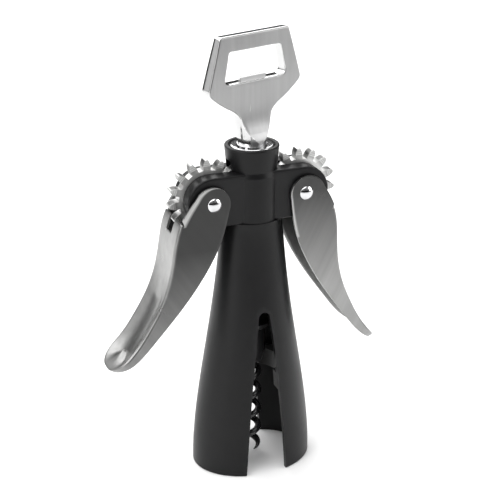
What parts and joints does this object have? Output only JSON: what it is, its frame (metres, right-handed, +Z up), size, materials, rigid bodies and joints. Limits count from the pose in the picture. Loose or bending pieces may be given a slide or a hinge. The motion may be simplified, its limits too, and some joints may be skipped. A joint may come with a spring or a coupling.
{
  "type": "lever corkscrew",
  "caption": "Double-lever corkscrew: a slotted bell on a geared yoke, swinging levers, a sliding and turning worm spindle, and a bottle-opener head.",
  "frame": {"origin": "on the body's axis, in the plane of the bell's rim, where a bottle's neck enters", "axes": "+Z up along the spindle towards the opener head, +X towards the right lever, and the front slot faces -Y"},
  "size_m": [0.1214, 0.0375, 0.1902],
  "materials": {
    "body_black": "satin black paint on cast zinc",
    "lever_steel": "satin nickel on pressed steel",
    "head_nickel": "satin nickel faces with polished edges",
    "polished_chrome": "polished chrome",
    "gear_zinc": "bare cast zinc",
    "rack_steel": "turned steel",
    "ferrule_black": "black coated steel",
    "worm_black": "smooth non-stick black coating",
    "seat_plastic": "matte black plastic",
    "bush_nylon": "natural nylon"
  },
  "bodies": {
    "body": {"body_shell": "body_black", "guide_bush": "bush_nylon", "bottle_seat": "seat_plastic", "left_ear_bushes": "bush_nylon", "right_ear_bushes": "bush_nylon"},
    "carriage": {"thrust_washer": "bush_nylon"},
    "spindle": {"spindle_flange": "polished_chrome", "opener_head": "head_nickel", "rack_shaft": "rack_steel", "worm_ferrule": "ferrule_black", "ferrule_pin": "rack_steel", "worm": "worm_black"},
    "left_arm": {"left_lever": "lever_steel", "left_gear": "gear_zinc", "left_pivot_rivet": "polished_chrome", "left_rivet_cap": "polished_chrome", "left_pivot_washers": "bush_nylon"},
    "right_arm": {"right_lever": "lever_steel", "right_gear": "gear_zinc", "right_pivot_rivet": "polished_chrome", "right_rivet_cap": "polished_chrome", "right_pivot_washers": "bush_nylon"}
  },
  "joints": [
    {"name": "spindle_slide", "type": "slide", "parent": "body", "child": "carriage", "axis": [0, 0, -1], "range_m": [-0.0319, 0]},
    {"name": "spindle_turn", "type": "hinge", "parent": "carriage", "child": "spindle", "pos_m": [0, 0, 0.1414], "axis": [0, 0, 1], "continuous": true},
    {"name": "left_lever_swing", "type": "hinge", "parent": "body", "child": "left_arm", "pos_m": [-0.02, 0, 0.124], "axis": [0, 1, 0], "range_deg": [-26.8, 117]},
    {"name": "right_lever_swing", "type": "hinge", "parent": "body", "child": "right_arm", "pos_m": [0.02, 0, 0.124], "axis": [0, -1, 0], "range_deg": [-20.2, 117]}
  ]
}
